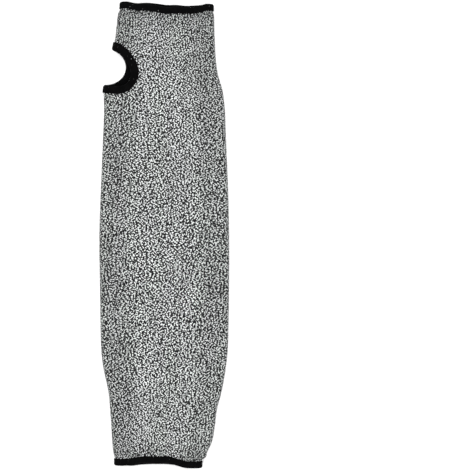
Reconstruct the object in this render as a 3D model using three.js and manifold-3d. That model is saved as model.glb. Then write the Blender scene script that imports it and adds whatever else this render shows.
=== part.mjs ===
// Cut resistant arm sleeve with a thumb hole, knitted as one seamless tube and lying flat as it is stored.
// Millimetres. X runs across the sleeve, +Y towards the hand and +Z up, and the sleeve rests on z = 0.
// The knit is a hollow wall. Each raw edge sits in a channel of black overlock stitching, which is its hem.
import * as THREE from "three";
import Module from "manifold-3d";

const wasm = await Module();
wasm.setup();

// The sleeve laid flat
const LENGTH = 400; // arm edge to hand edge, at the mean of each wavy edge
const BODY_WIDTH = 113; // outside, at the fullest place
const HAND_WIDTH = 79.8; // outside the knit, at the hand edge, drawn in by its hem
const ARM_WIDTH = 74.7; // outside the knit, at the arm edge, drawn in by its hem
const WALL = 1.6; // thickness of the knit
const FOLD_RADIUS = 5; // of the two side folds, to the middle of the wall
const CROWN = 5; // how much higher the top layer stands between the folds
const DENT_DEPTH = 1.2; // of the deepest soft dent in the top layer
const HAND_WAVE = 3.2; // furthest that the hand edge strays from straight
const ARM_WAVE = 3.3; // furthest that the arm edge strays from straight
const WAVE_RUN = 70; // how far from an edge its wave still bends the knit
const BAND_GAP = 0.3; // between the solids of neighbouring bands of the knit

// The hems
const EDGE_HEM_WIDTH = 6.2; // along the sleeve, at both ends
const THUMB_HEM_WIDTH = 7; // round the thumb hole
const HEM_THREAD = 0.8; // thickness of the stitching over each face of the knit
const SEAT = 0.3; // clearance between the stitching and the knit
const LIFT_RUN = 22; // length of knit that comes down to the table beside a hem

// The thumb hole, in the side fold at -X
const THUMB_FROM_HAND = 55.7; // hand edge to the middle of the hole
const THUMB_LENGTH = 28.8; // of the opening, along the fold
const THUMB_REACH_TOP = 22.9; // from the fold's crest round into the top layer
const THUMB_REACH_UNDER = 16.6; // from the fold's crest round into the layer below
const THUMB_SWEEP_TOP = 8.4; // how far the hole's deep end in the top layer lies towards the arm
const THUMB_SWEEP_UNDER = 2.4; // the same in the layer below
const THUMB_BEND = 0.3; // share of the reach over which that sweep sets in

// Facets
const FOLD_STEPS = 8;
const TOP_STEPS = 11;
const UNDER_STEPS = 9;
const CROWDING = 1.3; // power that draws the lines of both layers towards the thumb hole
const THUMB_STEPS = 60;
const THUMB_HEM_STEPS = 3;
const THUMB_CROWDING = 0.2; // how far the hole's lines are drawn towards the fold, in radians
const CUTTER_RINGS = 11;
const FINE_ROW = 4.5; // between rows of facets beside a hem
const COARSE_ROW = 17; // between rows of facets elsewhere

const HEM_HALF = WALL / 2 + SEAT + HEM_THREAD; // middle of the wall to the outside of a hem
const HEM_PROUD = SEAT + HEM_THREAD; // a hem's outside beyond the knit's
const EDGE_SEAT = HEM_THREAD + SEAT; // a hem's end to the knit's raw edge inside it
const QUARTER_FOLD = (Math.PI / 2) * FOLD_RADIUS; // fold's crest round to a flat layer
const FOLD_CREST = 0.5; // of the -X fold, in the girth's own units
const THUMB_PLACE = LENGTH - THUMB_FROM_HAND;

// The seamless knit is four bands of courses, each a solid of its own. Each runs to the next one's start,
// and from is a share of LENGTH.
const BANDS = [
  { name: "knit_upper_arm", from: 0 },
  { name: "knit_forearm", from: 0.26 },
  { name: "knit_wrist", from: 0.52 },
  { name: "knit_hand", from: 0.78 },
];

// Sections from the arm edge to the hand edge. along is a share of LENGTH. fullness is 0 at the width of
// the nearer edge and 1 at BODY_WIDTH. sway moves the middle by a share of BODY_WIDTH, and rise is a
// share of CROWN.
const SECTIONS = [
  { along: 0.0, fullness: 0.0, sway: -0.048, rise: 0.62 },
  { along: 0.0165, fullness: 0.02, sway: -0.046, rise: 0.65 },
  { along: 0.024, fullness: 0.145, sway: -0.035, rise: 0.67 },
  { along: 0.033, fullness: 0.183, sway: -0.034, rise: 0.68 },
  { along: 0.054, fullness: 0.318, sway: -0.0195, rise: 0.74 },
  { along: 0.087, fullness: 0.41, sway: -0.011, rise: 0.82 },
  { along: 0.12, fullness: 0.48, sway: -0.008, rise: 0.9 },
  { along: 0.152, fullness: 0.6, sway: 0.003, rise: 0.95 },
  { along: 0.185, fullness: 0.74, sway: 0.003, rise: 0.98 },
  { along: 0.217, fullness: 0.86, sway: 0.0, rise: 1.0 },
  { along: 0.255, fullness: 0.935, sway: 0.0, rise: 1.0 },
  { along: 0.38, fullness: 0.985, sway: 0.0, rise: 0.96 },
  { along: 0.5, fullness: 1.0, sway: -0.002, rise: 0.98 },
  { along: 0.61, fullness: 0.925, sway: 0.0, rise: 1.0 },
  { along: 0.71, fullness: 0.82, sway: 0.0, rise: 0.95 },
  { along: 0.77, fullness: 0.765, sway: 0.0, rise: 0.88 },
  { along: 0.814, fullness: 0.699, sway: -0.0097, rise: 0.82 },
  { along: 0.847, fullness: 0.491, sway: -0.0133, rise: 0.78 },
  { along: 0.88, fullness: 0.346, sway: -0.008, rise: 0.74 },
  { along: 0.92, fullness: 0.214, sway: 0.0035, rise: 0.68 },
  { along: 0.95, fullness: 0.157, sway: 0.008, rise: 0.64 },
  { along: 0.975, fullness: 0.11, sway: 0.0125, rise: 0.61 },
  { along: 0.9835, fullness: 0.02, sway: 0.0165, rise: 0.6 },
  { along: 1.0, fullness: 0.0, sway: 0.0177, rise: 0.58 },
];

// The two wavy edges. across runs from the -X fold to the +X fold. top and under are shares of the edge's
// wave for the two layers, positive towards the hand, and agree at the folds.
const HAND_EDGE = [
  { across: -1.0, top: 0.63, under: 0.63 },
  { across: -0.75, top: 0.06, under: 0.4 },
  { across: -0.5, top: -0.08, under: 0.52 },
  { across: -0.25, top: -0.51, under: 0.27 },
  { across: 0.0, top: -1.0, under: -0.08 },
  { across: 0.25, top: -0.8, under: -0.08 },
  { across: 0.5, top: -0.93, under: -0.34 },
  { across: 0.75, top: -0.8, under: -0.21 },
  { across: 1.0, top: 0.0, under: 0.0 },
];
const ARM_EDGE = [
  { across: -1.0, top: -0.33, under: -0.33 },
  { across: -0.75, top: -0.15, under: -0.56 },
  { across: -0.5, top: 0.34, under: -0.28 },
  { across: -0.25, top: 0.5, under: -0.13 },
  { across: 0.0, top: 0.35, under: -0.11 },
  { across: 0.25, top: 0.5, under: -0.15 },
  { across: 0.5, top: -0.2, under: -0.42 },
  { across: 0.75, top: -0.9, under: -0.75 },
  { across: 1.0, top: -1.0, under: -1.0 },
];

// Soft dents of the top layer. along is a share of LENGTH, across runs from fold to fold, and long and
// broad are how far the dent reaches from its middle, in the same shares. deep is a share of DENT_DEPTH.
const DENTS = [
  { along: 0.3, across: -0.5, long: 0.26, broad: 0.34, deep: 0.9 },
  { along: 0.66, across: -0.42, long: 0.22, broad: 0.3, deep: 0.7 },
  { along: 0.47, across: 0.55, long: 0.3, broad: 0.3, deep: 0.8 },
  { along: 0.14, across: 0.3, long: 0.12, broad: 0.42, deep: 0.6 },
  { along: 0.83, across: 0.45, long: 0.11, broad: 0.4, deep: 1.0 },
];

const smooth = (share) => THREE.MathUtils.smoothstep(share, 0, 1);
const hump = (share) => (Math.abs(share) < 1 ? (1 - share * share) ** 2 : 0);

// The value of a table's column at a place, on a smooth curve through the rows.
function read(rows, key, column, place) {
  const above = rows.findIndex((row) => row[key] > place);
  const high = above < 1 ? (above === 0 ? 1 : rows.length - 1) : above;
  const slope = (index) => {
    const before = rows[Math.max(0, index - 1)];
    const after = rows[Math.min(rows.length - 1, index + 1)];
    return (after[column] - before[column]) / (after[key] - before[key]);
  };
  const [a, b] = [rows[high - 1], rows[high]];
  const step = b[key] - a[key];
  const t = THREE.MathUtils.clamp((place - a[key]) / step, 0, 1);
  const near = 1 - smooth(t);
  const leave = (t - 1) * (t - 1) * t * step * slope(high - 1);
  const arrive = t * t * (t - 1) * step * slope(high);
  return near * a[column] + (1 - near) * b[column] + leave + arrive;
}

// Where the fold centres lie across the sleeve, and how high the top layer rises, at a place along it.
function section(place) {
  const along = place / LENGTH;
  const edgeWidth = along < 0.5 ? ARM_WIDTH : HAND_WIDTH;
  const width = edgeWidth + (BODY_WIDTH - edgeWidth) * read(SECTIONS, "along", "fullness", along);
  const middle = BODY_WIDTH * read(SECTIONS, "along", "sway", along);
  const inset = WALL / 2 + FOLD_RADIUS;
  return {
    left: middle - width / 2 + inset,
    right: middle + width / 2 - inset,
    rise: CROWN * read(SECTIONS, "along", "rise", along),
  };
}

// Height of the top layer above the folds' own, at a place along and across.
function crownHeight(place, across, rise) {
  const dents = DENTS.map(
    (dent) =>
      DENT_DEPTH *
      dent.deep *
      hump((place / LENGTH - dent.along) / dent.long) *
      hump((across - dent.across) / dent.broad),
  );
  return rise * hump(across) - dents.reduce((sum, depth) => sum + depth, 0);
}

// The girth is four stretches, each one unit of q: the -X fold upwards, the top layer towards +X, the +X
// fold downwards, and the layer below back towards -X. w is the distance round the wall from the crest of
// the -X fold, positive over the top layer, and is only used near that fold.
function girthToReach(q, flat) {
  if (q <= 1) return (2 * q - 1) * QUARTER_FOLD;
  if (q <= 2) return QUARTER_FOLD + (q - 1) * flat;
  if (q <= 3) return Infinity;
  return -QUARTER_FOLD - (4 - q) * flat;
}

function reachToGirth(w, place) {
  const { left, right } = section(place);
  if (Math.abs(w) <= QUARTER_FOLD) return FOLD_CREST + w / (2 * QUARTER_FOLD);
  const share = (Math.abs(w) - QUARTER_FOLD) / (right - left);
  return w > 0 ? 1 + share : 4 - share;
}

// How far the knit is held off the table, so that the thicker hems rest on it.
function lift(w, place) {
  const fromEdge = Math.min(place, LENGTH - place) - EDGE_HEM_WIDTH - FINE_ROW;
  const fromThumb =
    Math.hypot(w, place - THUMB_PLACE) - THUMB_REACH_TOP - THUMB_HEM_WIDTH - FINE_ROW;
  const free = smooth(fromEdge / LIFT_RUN) * smooth(fromThumb / LIFT_RUN);
  return HEM_PROUD * (1 - free);
}

// Bend of the rows that brings the knit to its wavy edges.
function waveShift(q, across, place) {
  const layer = q > 3 ? "under" : "top";
  const hand = HAND_WAVE * read(HAND_EDGE, "across", layer, across);
  const arm = ARM_WAVE * read(ARM_EDGE, "across", layer, across);
  return hand * (1 - smooth((LENGTH - place) / WAVE_RUN)) + arm * (1 - smooth(place / WAVE_RUN));
}

// A point of the sleeve: q round the girth, place from the arm edge, off outwards from the wall's middle.
function sleevePoint(q, place, off) {
  const { left, right, rise } = section(place);
  const stretch = Math.min(3, Math.floor(q));
  const t = q - stretch;
  const centre = WALL / 2 + FOLD_RADIUS + lift(girthToReach(q, right - left), place);
  const radius = FOLD_RADIUS + off;
  let [x, z, across] = [0, 0, 0];
  if (stretch === 0 || stretch === 2) {
    const side = stretch === 0 ? -1 : 1;
    const angle = Math.PI * (t - 0.5) * -side;
    x = (stretch === 0 ? left : right) + side * radius * Math.cos(angle);
    z = centre + radius * Math.sin(angle);
    across = side;
  } else if (stretch === 1) {
    across = 2 * t - 1;
    const height = (share) => crownHeight(place, share, rise);
    const reach = 0.01;
    const slope = (height(across + reach) - height(across - reach)) / (reach * (right - left));
    const steep = Math.hypot(1, slope);
    x = left + t * (right - left) - (off * slope) / steep;
    z = centre + FOLD_RADIUS + height(across) + off / steep;
  } else {
    across = 1 - 2 * t;
    x = right - t * (right - left);
    z = centre - radius;
  }
  return new THREE.Vector3(x, place + waveShift(q, across, place), z);
}

// A closed ring: a closed profile carried round closed stations. point(station, corner) places a vertex.
function ringGeometry(stations, profile, point) {
  const positions = stations.flatMap((station) =>
    profile.flatMap((corner) => point(station, corner).toArray()),
  );
  const vertex = (i, j) => (i % stations.length) * profile.length + (j % profile.length);
  const faces = [];
  for (let i = 0; i < stations.length; i++) {
    for (let j = 0; j < profile.length; j++) {
      const [a, b] = [vertex(i, j), vertex(i + 1, j)];
      const [c, d] = [vertex(i + 1, j + 1), vertex(i, j + 1)];
      faces.push(a, b, c, a, c, d);
    }
  }
  return indexed(positions, faces);
}

function indexed(positions, faces) {
  const geometry = new THREE.BufferGeometry();
  geometry.setAttribute("position", new THREE.Float32BufferAttribute(positions, 3));
  geometry.setIndex(faces);
  return geometry;
}

// Facet lines round the girth. Those of the two layers lie closer together towards the thumb hole.
function girthStations() {
  const folds = Array.from({ length: FOLD_STEPS }, (_, i) => i / FOLD_STEPS);
  const tops = Array.from({ length: TOP_STEPS }, (_, i) => (i / TOP_STEPS) ** CROWDING);
  const unders = Array.from({ length: UNDER_STEPS }, (_, i) => 1 - (1 - i / UNDER_STEPS) ** CROWDING);
  return [
    ...folds,
    ...tops.map((t) => 1 + t),
    ...folds.map((t) => 2 + t),
    ...unders.map((t) => 3 + t),
  ];
}

// Facet rows along the whole knit, from raw edge to raw edge, closer together beside the hems.
function knitRows() {
  const thumbZone = THUMB_LENGTH / 2 + THUMB_HEM_WIDTH + 2 * FINE_ROW;
  const spans = [
    { until: EDGE_HEM_WIDTH + SEAT, row: EDGE_HEM_WIDTH },
    { until: EDGE_HEM_WIDTH + LIFT_RUN, row: FINE_ROW },
    { until: THUMB_PLACE - thumbZone, row: COARSE_ROW },
    { until: THUMB_PLACE + thumbZone, row: FINE_ROW },
    { until: LENGTH - EDGE_HEM_WIDTH - LIFT_RUN, row: COARSE_ROW },
    { until: LENGTH - EDGE_HEM_WIDTH - SEAT, row: FINE_ROW },
    { until: LENGTH - EDGE_SEAT, row: EDGE_HEM_WIDTH },
  ];
  const rows = [EDGE_SEAT];
  for (const { until, row } of spans) {
    const start = rows[rows.length - 1];
    const steps = Math.ceil((until - start) / row);
    for (let i = 1; i <= steps; i++) rows.push(start + ((until - start) * i) / steps);
  }
  return rows;
}

// Those rows that lie in one band, with the band's own two ends.
function bandRows(index) {
  const isLast = index === BANDS.length - 1;
  const start = index === 0 ? EDGE_SEAT : LENGTH * BANDS[index].from + BAND_GAP / 2;
  const end = isLast ? LENGTH - EDGE_SEAT : LENGTH * BANDS[index + 1].from - BAND_GAP / 2;
  const inside = knitRows().filter((row) => row > start + FINE_ROW / 2 && row < end - FINE_ROW / 2);
  return [start, ...inside, end];
}

// The thumb hole's edge in the unrolled wall, margin outside the end of its hem.
function thumbEdge(angle, margin) {
  const [cos, sin] = [Math.cos(angle), Math.sin(angle)];
  const reach = cos > 0 ? THUMB_REACH_TOP : THUMB_REACH_UNDER;
  const sweep = cos > 0 ? THUMB_SWEEP_TOP : THUMB_SWEEP_UNDER;
  const soft = Math.hypot(cos, THUMB_BEND);
  const fullSweep = Math.hypot(1, THUMB_BEND) - THUMB_BEND;
  const w = reach * cos;
  const place = THUMB_PLACE + (THUMB_LENGTH / 2) * sin - (sweep * (soft - THUMB_BEND)) / fullSweep;
  const dw = -reach * sin;
  const dPlace = (THUMB_LENGTH / 2) * cos + (sweep * cos * sin) / (soft * fullSweep);
  const pace = Math.hypot(dw, dPlace);
  return { w: w + (margin * dPlace) / pace, place: place - (margin * dw) / pace };
}

// Facet lines round the thumb hole, closer together where its edge crosses the fold.
function thumbAngles() {
  return Array.from({ length: THUMB_STEPS }, (_, i) => {
    const turn = (2 * Math.PI * i) / THUMB_STEPS;
    return turn + THUMB_CROWDING * Math.sin(2 * turn);
  });
}

// The hole's area carried through the wall, for cutting it out of the knit.
function thumbCutter() {
  const through = WALL / 2 + HEM_THREAD;
  const edges = thumbAngles().map((angle) => thumbEdge(angle, EDGE_SEAT));
  const positions = [];
  const faces = [];
  for (const off of [through, -through]) {
    positions.push(...sleevePoint(FOLD_CREST, THUMB_PLACE, off).toArray());
    for (let ring = 1; ring <= CUTTER_RINGS; ring++) {
      for (const edge of edges) {
        const share = ring / CUTTER_RINGS;
        const place = THUMB_PLACE + share * (edge.place - THUMB_PLACE);
        positions.push(...sleevePoint(reachToGirth(share * edge.w, place), place, off).toArray());
      }
    }
  }
  const sheet = 1 + CUTTER_RINGS * THUMB_STEPS;
  const vertex = (side, ring, i) =>
    side * sheet + (ring === 0 ? 0 : 1 + (ring - 1) * THUMB_STEPS + (i % THUMB_STEPS));
  for (let i = 0; i < THUMB_STEPS; i++) {
    faces.push(vertex(0, 0, 0), vertex(0, 1, i), vertex(0, 1, i + 1));
    faces.push(vertex(1, 0, 0), vertex(1, 1, i + 1), vertex(1, 1, i));
    for (let ring = 1; ring < CUTTER_RINGS; ring++) {
      for (const side of [0, 1]) {
        const [a, b] = [vertex(side, ring, i), vertex(side, ring, i + 1)];
        const [c, d] = [vertex(side, ring + 1, i + 1), vertex(side, ring + 1, i)];
        if (side === 0) faces.push(a, c, b, a, d, c);
        else faces.push(a, b, c, a, c, d);
      }
    }
    const [a, b] = [vertex(0, CUTTER_RINGS, i), vertex(0, CUTTER_RINGS, i + 1)];
    const [c, d] = [vertex(1, CUTTER_RINGS, i + 1), vertex(1, CUTTER_RINGS, i)];
    faces.push(a, c, b, a, d, c);
  }
  return indexed(positions, faces);
}

function toSolid(geometry) {
  return new wasm.Manifold(
    new wasm.Mesh({
      numProp: 3,
      vertProperties: new Float32Array(geometry.attributes.position.array),
      triVerts: new Uint32Array(geometry.index.array),
    }),
  );
}

function fromSolid(solid) {
  const mesh = solid.getMesh();
  return indexed(Array.from(mesh.vertProperties), Array.from(mesh.triVerts));
}

// One band of the knit, open at both ends, with what the thumb hole takes out of it.
function knitBand(index) {
  const rows = bandRows(index);
  const wall = [
    ...rows.map((place) => ({ place, off: WALL / 2 })),
    ...rows.reverse().map((place) => ({ place, off: -WALL / 2 })),
  ];
  const tube = ringGeometry(girthStations(), wall, (q, corner) =>
    sleevePoint(q, corner.place, corner.off),
  );
  return fromSolid(toSolid(tube).subtract(toSolid(thumbCutter())));
}

// Section of a hem: stitching over both faces of the knit and round its raw edge, with the end rounded.
// back is the distance from the hem's end, and off is outwards from the middle of the wall. Each face of
// the stitching is crossed by a few steps, where the hem has to bend round the side fold.
function hemProfile(width, steps) {
  const inner = WALL / 2 + SEAT;
  const faceAt = (from, to, off) =>
    Array.from({ length: steps + 1 }, (_, i) => ({ back: from + ((to - from) * i) / steps, off }));
  const mirrored = (points) => points.map(({ back, off }) => ({ back, off: -off })).reverse();
  const outside = [
    { back: width - HEM_THREAD / 4, off: HEM_HALF - HEM_THREAD / 4 },
    ...faceAt(width - HEM_THREAD, HEM_HALF, HEM_HALF),
    { back: HEM_HALF * (1 - Math.SQRT1_2), off: HEM_HALF * Math.SQRT1_2 },
  ];
  const channel = faceAt(HEM_THREAD, width, inner);
  return [...outside, { back: 0, off: 0 }, ...mirrored(outside), ...mirrored(channel), ...channel];
}

function handHem() {
  return ringGeometry(girthStations(), hemProfile(EDGE_HEM_WIDTH, 1), (q, corner) =>
    sleevePoint(q, LENGTH - corner.back, corner.off),
  );
}

function armHem() {
  return ringGeometry(girthStations(), hemProfile(EDGE_HEM_WIDTH, 1).reverse(), (q, corner) =>
    sleevePoint(q, corner.back, corner.off),
  );
}

function thumbHem() {
  return ringGeometry(thumbAngles(), hemProfile(THUMB_HEM_WIDTH, THUMB_HEM_STEPS), (angle, corner) => {
    const { w, place } = thumbEdge(angle, corner.back);
    return sleevePoint(reachToGirth(w, place), place, corner.off);
  });
}

const knitYarn = new THREE.MeshStandardMaterial({ color: 0x8e8f8f, roughness: 0.95, metalness: 0 });
const hemThread = new THREE.MeshStandardMaterial({ color: 0x141414, roughness: 0.9, metalness: 0 });

function named(name, geometry, material) {
  geometry.computeVertexNormals();
  const mesh = new THREE.Mesh(geometry, material);
  mesh.name = name;
  return mesh;
}

const sleeve = new THREE.Group();
sleeve.add(
  ...BANDS.map(({ name }, index) => named(name, knitBand(index), knitYarn)),
  named("hand_hem", handHem(), hemThread),
  named("arm_hem", armHem(), hemThread),
  named("thumb_hem", thumbHem(), hemThread),
);

// The origin is under the middle of the sleeve.
const middle = new THREE.Box3().setFromObject(sleeve).getCenter(new THREE.Vector3());
sleeve.position.set(-middle.x, -middle.y, 0);

export default sleeve;
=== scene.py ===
"""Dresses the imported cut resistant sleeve: marl knit, black overlocked edges, floor, light and camera.

Metres throughout. X runs across the sleeve, +Y towards the hand and +Z up, and it rests on z = 0.
"""
import math
from collections import namedtuple

import bpy
import numpy as np
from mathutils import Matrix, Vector


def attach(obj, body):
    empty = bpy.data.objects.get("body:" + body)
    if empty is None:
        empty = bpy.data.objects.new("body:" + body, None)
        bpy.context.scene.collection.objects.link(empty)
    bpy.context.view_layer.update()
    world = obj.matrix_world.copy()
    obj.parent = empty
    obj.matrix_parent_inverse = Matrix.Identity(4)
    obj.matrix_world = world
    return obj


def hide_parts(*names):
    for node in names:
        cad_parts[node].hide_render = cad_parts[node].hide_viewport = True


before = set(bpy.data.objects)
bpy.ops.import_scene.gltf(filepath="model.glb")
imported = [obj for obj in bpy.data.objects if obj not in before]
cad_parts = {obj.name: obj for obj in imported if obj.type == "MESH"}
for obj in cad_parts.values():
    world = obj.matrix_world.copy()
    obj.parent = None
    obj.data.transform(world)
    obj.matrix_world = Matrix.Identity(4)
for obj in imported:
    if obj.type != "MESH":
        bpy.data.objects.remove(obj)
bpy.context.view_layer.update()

bl_info = {
    "name": "Cut Resistant Sleeve",
    "version": (1, 0, 0),
    "blender": (4, 5, 0),
    "location": "View3D > Sidebar > Sleeve",
    "description": "Builds a knitted arm sleeve with overlocked edges over its CAD solids",
    "category": "Add Mesh",
}

# The sleeve laid flat, as its solids have it
LENGTH = 0.400
BODY_WIDTH = 0.113
HAND_WIDTH = 0.0798
ARM_WIDTH = 0.0747
WALL = 0.0016
FOLD_RADIUS = 0.005
CROWN = 0.005
DENT_DEPTH = 0.0012
HAND_WAVE = 0.0032
ARM_WAVE = 0.0033
WAVE_RUN = 0.070
MIDDLE = (0.00019, -0.19936)

# The hems, as their solids have them
EDGE_HEM_WIDTH = 0.0062
THUMB_HEM_WIDTH = 0.007
HEM_THREAD = 0.0008
SEAT = 0.0003
LIFT_RUN = 0.022
LIFT_START = 0.0045
HEM_HALF = WALL / 2 + SEAT + HEM_THREAD
HEM_PROUD = SEAT + HEM_THREAD

# The thumb hole, in the side fold at -X
THUMB_PLACE = LENGTH - 0.0557
THUMB_LENGTH = 0.0288
THUMB_REACH_TOP = 0.0229
THUMB_REACH_UNDER = 0.0166
THUMB_SWEEP_TOP = 0.0084
THUMB_SWEEP_UNDER = 0.0024
THUMB_BEND = 0.3
FAR = 1.0

# How far inside the hems the knit's raw edges lie, how sharply its rows straighten towards both ends, and
# the share of a course that a stitch there may stray past the edge
RAW_EDGE = 0.0018
RAW_THUMB_EDGE = 0.0027
CALM_ENDS = 40
EDGE_STRAY = 1 / 3

# The four bands of the knit, each up to a share of LENGTH
BANDS = (
    ("knit_upper_arm", 0.26),
    ("knit_forearm", 0.52),
    ("knit_wrist", 0.78),
    ("knit_hand", 1.0),
)


def table(columns, *rows):
    """A short table of numbers as one array for each named column."""
    return dict(zip(columns.split(), np.array(rows, dtype=float).T))


# Sections from the arm edge to the hand edge: along is a share of LENGTH, fullness is 0 at the nearer
# edge's width and 1 at BODY_WIDTH, sway is a share of BODY_WIDTH and rise a share of CROWN.
SECTIONS = table(
    "along fullness sway rise",
    (0.0, 0.0, -0.048, 0.62),
    (0.0165, 0.02, -0.046, 0.65),
    (0.024, 0.145, -0.035, 0.67),
    (0.033, 0.183, -0.034, 0.68),
    (0.054, 0.318, -0.0195, 0.74),
    (0.087, 0.41, -0.011, 0.82),
    (0.12, 0.48, -0.008, 0.9),
    (0.152, 0.6, 0.003, 0.95),
    (0.185, 0.74, 0.003, 0.98),
    (0.217, 0.86, 0.0, 1.0),
    (0.255, 0.935, 0.0, 1.0),
    (0.38, 0.985, 0.0, 0.96),
    (0.5, 1.0, -0.002, 0.98),
    (0.61, 0.925, 0.0, 1.0),
    (0.71, 0.82, 0.0, 0.95),
    (0.77, 0.765, 0.0, 0.88),
    (0.814, 0.699, -0.0097, 0.82),
    (0.847, 0.491, -0.0133, 0.78),
    (0.88, 0.346, -0.008, 0.74),
    (0.92, 0.214, 0.0035, 0.68),
    (0.95, 0.157, 0.008, 0.64),
    (0.975, 0.11, 0.0125, 0.61),
    (0.9835, 0.02, 0.0165, 0.6),
    (1.0, 0.0, 0.0177, 0.58),
)

# The wavy edges from the -X fold to the +X fold, as shares of each edge's wave for the two layers
HAND_EDGE = table(
    "across top under",
    (-1.0, 0.63, 0.63),
    (-0.75, 0.06, 0.4),
    (-0.5, -0.08, 0.52),
    (-0.25, -0.51, 0.27),
    (0.0, -1.0, -0.08),
    (0.25, -0.8, -0.08),
    (0.5, -0.93, -0.34),
    (0.75, -0.8, -0.21),
    (1.0, 0.0, 0.0),
)
ARM_EDGE = table(
    "across top under",
    (-1.0, -0.33, -0.33),
    (-0.75, -0.15, -0.56),
    (-0.5, 0.34, -0.28),
    (-0.25, 0.5, -0.13),
    (0.0, 0.35, -0.11),
    (0.25, 0.5, -0.15),
    (0.5, -0.2, -0.42),
    (0.75, -0.9, -0.75),
    (1.0, -1.0, -1.0),
)

# Soft dents of the top layer
DENTS = (
    {"along": 0.3, "across": -0.5, "long": 0.26, "broad": 0.34, "deep": 0.9},
    {"along": 0.66, "across": -0.42, "long": 0.22, "broad": 0.3, "deep": 0.7},
    {"along": 0.47, "across": 0.55, "long": 0.3, "broad": 0.3, "deep": 0.8},
    {"along": 0.14, "across": 0.3, "long": 0.12, "broad": 0.42, "deep": 0.6},
    {"along": 0.83, "across": 0.45, "long": 0.11, "broad": 0.4, "deep": 1.0},
)

# Height of the yarn over the middle of the wall, for the four columns of a wale: where the stitches of
# two wales meet, the left leg, the middle of the V, and the right leg. Each leg is pinched between
# courses.
RELIEF = table(
    "pinch full rise",
    (0.00040, 0.00048, 1.0),
    (0.00058, 0.00080, 0.0),
    (0.00046, 0.00055, -1.0),
    (0.00058, 0.00080, 0.0),
)


class SleeveKnit(bpy.types.PropertyGroup):
    """Sizes and colours of the knit."""

    wales: bpy.props.IntProperty(
        name="Wales", description="Columns of stitches round the sleeve", default=118, min=16)
    courses: bpy.props.IntProperty(
        name="Courses", description="Rows of stitches along the sleeve", default=289, min=16)
    leg_rise: bpy.props.FloatProperty(
        name="Leg Rise", description="How steeply the legs of a stitch stand, as a share of a course",
        default=0.3, min=0.0, max=0.5, subtype="FACTOR")
    unevenness: bpy.props.FloatProperty(
        name="Unevenness", description="How far single stitches stray from the even knit",
        default=0.00009, min=0.0, unit="LENGTH", precision=5)
    wander: bpy.props.FloatProperty(
        name="Wander", description="How far whole rows and columns of stitches drift",
        default=0.0007, min=0.0, unit="LENGTH", precision=5)
    dark_yarn: bpy.props.FloatVectorProperty(
        name="Dark Yarn", description="The dark strand of the marl", size=3,
        default=(0.008, 0.008, 0.0085), min=0.0, max=1.0, subtype="COLOR")
    pale_yarn: bpy.props.FloatVectorProperty(
        name="Pale Yarn", description="The pale strand of the marl", size=3,
        default=(0.765, 0.791, 0.786), min=0.0, max=1.0, subtype="COLOR")


class SleeveHems(bpy.types.PropertyGroup):
    """Sizes and colours of the overlocked edges."""

    thread_pitch: bpy.props.FloatProperty(
        name="Thread Pitch", description="Distance between neighbouring threads along an edge",
        default=0.00115, min=0.0004, unit="LENGTH", precision=5)
    thread_round: bpy.props.FloatProperty(
        name="Thread Roundness", description="How deep the grooves between the threads are",
        default=0.00024, min=0.0, unit="LENGTH", precision=5)
    scallop: bpy.props.FloatProperty(
        name="Scallop", description="How far the loops stand out along the inner border",
        default=0.00028, min=0.0, unit="LENGTH", precision=5)
    needle_stitch: bpy.props.FloatProperty(
        name="Needle Stitch", description="Length of a stitch of the needle line",
        default=0.0023, min=0.0005, unit="LENGTH", precision=5)
    thread: bpy.props.FloatVectorProperty(
        name="Thread", description="Colour of the overlock thread", size=3,
        default=(0.0006, 0.0006, 0.00065), min=0.0, max=1.0, subtype="COLOR")


class SleeveStage(bpy.types.PropertyGroup):
    """The floor, the light and the camera."""

    floor: bpy.props.FloatVectorProperty(
        name="Floor", description="Colour of the floor", size=3,
        default=(0.93, 0.93, 0.93), min=0.0, max=1.0, subtype="COLOR")
    lamp_power: bpy.props.FloatProperty(
        name="Lamp Power", description="Power of the soft light above", default=40.0, min=0.0, unit="POWER")
    sky: bpy.props.FloatProperty(
        name="Sky", description="Strength of the even light from all round", default=0.9, min=0.0)
    camera_height: bpy.props.FloatProperty(
        name="Camera Height", description="Height of the camera over the floor", default=2.5, min=0.5,
        unit="LENGTH")
    view_width: bpy.props.FloatProperty(
        name="View Width", description="Width that the camera sees at the side folds", default=0.4086,
        min=0.05, unit="LENGTH", precision=4)


# The sleeve's surface

def smooth(share):
    """0 to 1 with a soft start and a soft end."""
    share = np.clip(share, 0, 1)
    return share * share * (3 - 2 * share)


def hump(share):
    """1 in the middle and 0 from -1 and 1 outwards."""
    return np.where(np.abs(share) < 1, (1 - share * share) ** 2, 0)


def read(rows, key, column, place):
    """A table's column at each place, on a smooth curve through the rows."""
    keys, values = rows[key], rows[column]
    last = len(keys) - 1
    index = np.arange(last + 1)
    before, after = np.maximum(0, index - 1), np.minimum(last, index + 1)
    slope = (values[after] - values[before]) / (keys[after] - keys[before])
    high = np.clip(np.searchsorted(keys, place, side="right"), 1, last)
    low = high - 1
    step = keys[high] - keys[low]
    t = np.clip((place - keys[low]) / step, 0, 1)
    near = 1 - smooth(t)
    leave = (t - 1) ** 2 * t * step * slope[low]
    arrive = t * t * (t - 1) * step * slope[high]
    return near * values[low] + (1 - near) * values[high] + leave + arrive


def section(place):
    """Where the fold centres lie across the sleeve, and how high its top layer rises."""
    along = place / LENGTH
    edge = np.where(along < 0.5, ARM_WIDTH, HAND_WIDTH)
    width = edge + (BODY_WIDTH - edge) * read(SECTIONS, "along", "fullness", along)
    middle = BODY_WIDTH * read(SECTIONS, "along", "sway", along)
    inset = WALL / 2 + FOLD_RADIUS
    rise = CROWN * read(SECTIONS, "along", "rise", along)
    return middle - width / 2 + inset, middle + width / 2 - inset, rise


def girth(place):
    """Length of a section round the middle of the wall."""
    left, right, _ = section(place)
    return 2 * math.pi * FOLD_RADIUS + 2 * (right - left)


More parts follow.
